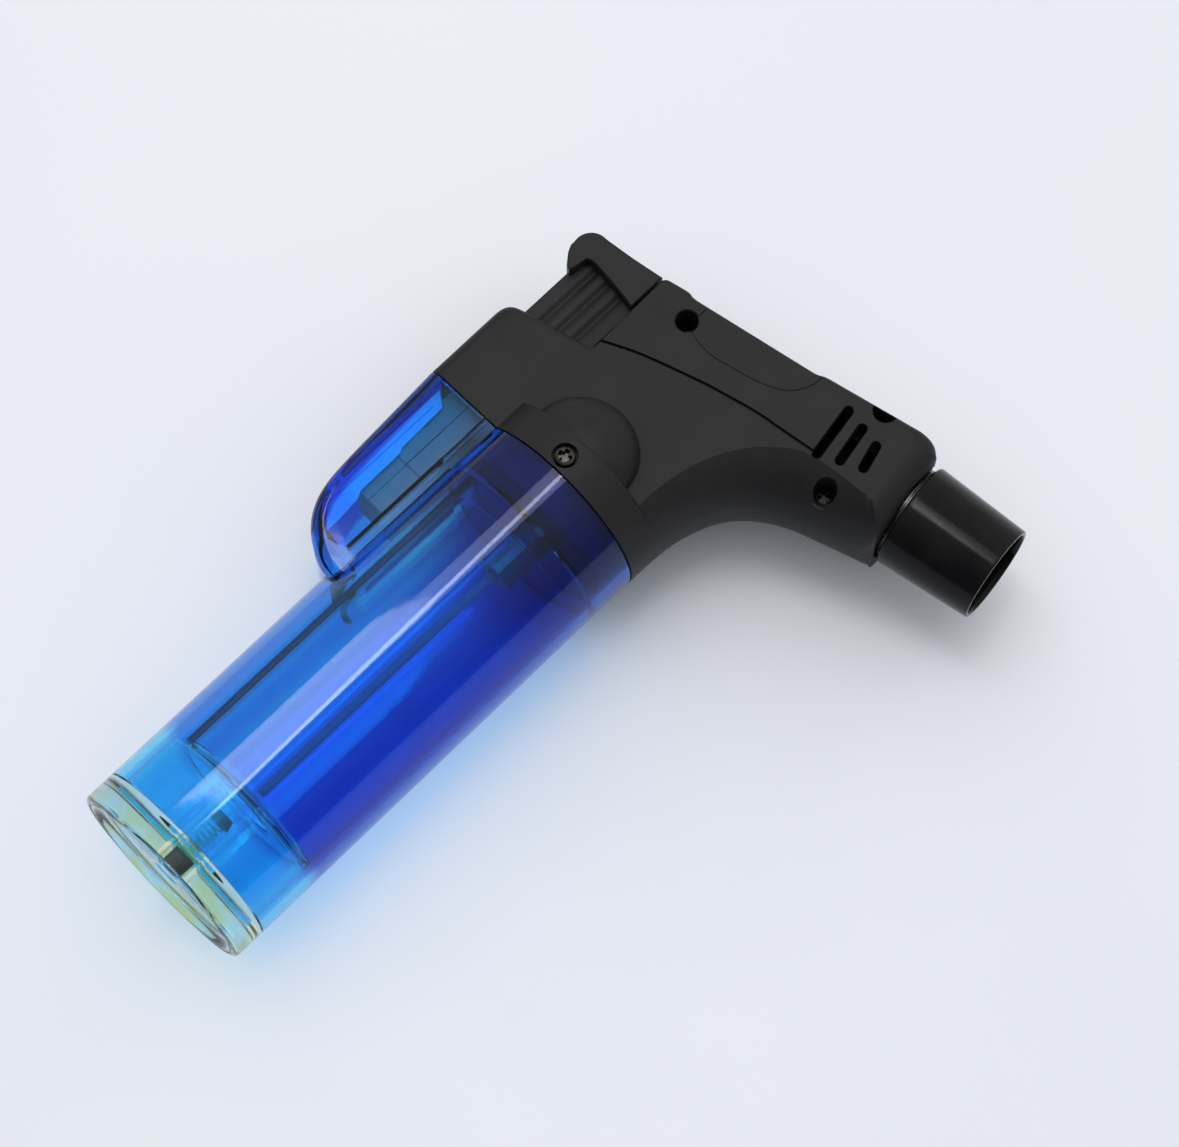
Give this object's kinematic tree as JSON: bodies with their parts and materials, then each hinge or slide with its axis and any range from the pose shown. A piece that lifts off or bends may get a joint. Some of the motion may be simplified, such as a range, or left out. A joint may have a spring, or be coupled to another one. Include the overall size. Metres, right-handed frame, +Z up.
{
  "type": "butane torch",
  "caption": "Handheld refillable butane torch: clear tank as the handle, black head with a thumb ignition button, tapered flame shroud angled forward.",
  "frame": {"origin": "centre of the bounding box in X and Y, on the surface the torch lies on, which its tank touches along its lowest line", "axes": "+X the way the nozzle points, +Y up the handle from the base to the head, +Z up out of the surface, square to the torch's middle plane"},
  "size_m": [0.0769, 0.1203, 0.03],
  "materials": {
    "blue_clear_plastic": "transparent moulded, polished",
    "clear_plastic": "clear moulded, polished",
    "black_plastic": "fine matt texture",
    "gloss_black": "gloss black",
    "grey_plastic": "moulded",
    "steel": "plated",
    "brass": "turned",
    "rubber": "plain",
    "ceramic": "fired ceramic",
    "wick": "fibre",
    "hose": "translucent polymer"
  },
  "bodies": {
    "housing": {"fuel_tank": "blue_clear_plastic", "fuel_liner": "blue_clear_plastic", "base_plug": "clear_plastic", "fill_valve_body": "brass", "fill_valve_seal": "rubber", "fill_valve_spring": "steel", "fuel_wick": "wick", "gas_valve_body": "brass", "gas_valve_seal": "rubber", "gas_valve_spring": "steel", "lever_pin": "steel", "valve_carrier": "black_plastic", "gas_hose": "hose", "burner_jet": "brass", "mixing_tube": "brass", "flame_holder": "steel", "nozzle_shroud": "gloss_black", "nozzle_ring": "steel", "electrode_insulator": "ceramic", "electrode_pin": "steel", "ignition_lead": "rubber", "piezo_body": "grey_plastic", "piezo_spring": "steel", "head_shell_right": "black_plastic", "head_shell_left": "black_plastic", "top_screw": "steel", "barrel_screw": "steel", "collar_screw_right": "steel", "collar_screw_left": "steel"},
    "thumb_button": {"ignition_button": "black_plastic", "piezo_plunger": "grey_plastic"},
    "lever": {"gas_lever": "steel"},
    "gas_stem": {"gas_valve_stem": "brass"},
    "fill_stem": {"fill_valve_stem": "brass"}
  },
  "joints": [
    {"name": "button_slide", "type": "slide", "parent": "housing", "child": "thumb_button", "axis": [0, -1, 0], "range_m": [0, 0.006], "stiffness_N_per_m": 2000, "springref_m": -0.001},
    {"name": "lever_tilt", "type": "hinge", "parent": "housing", "child": "lever", "pos_m": [-0.01938, 0.01845, 0.015], "axis": [0, 0, 1], "range_deg": [0, 8]},
    {"name": "gas_stem_lift", "type": "slide", "parent": "housing", "child": "gas_stem", "axis": [0, 1, 0], "range_m": [0, 0.0009]},
    {"name": "fill_stem_press", "type": "slide", "parent": "housing", "child": "fill_stem", "axis": [0, 1, 0], "range_m": [0, 0.0015], "stiffness_N_per_m": 300, "springref_m": -0.0005}
  ],
  "couplings": [
    {"joint": "lever_tilt", "follows": "button_slide", "rad_per_m": 23.25},
    {"joint": "gas_stem_lift", "follows": "button_slide", "ratio": 0.1499}
  ]
}
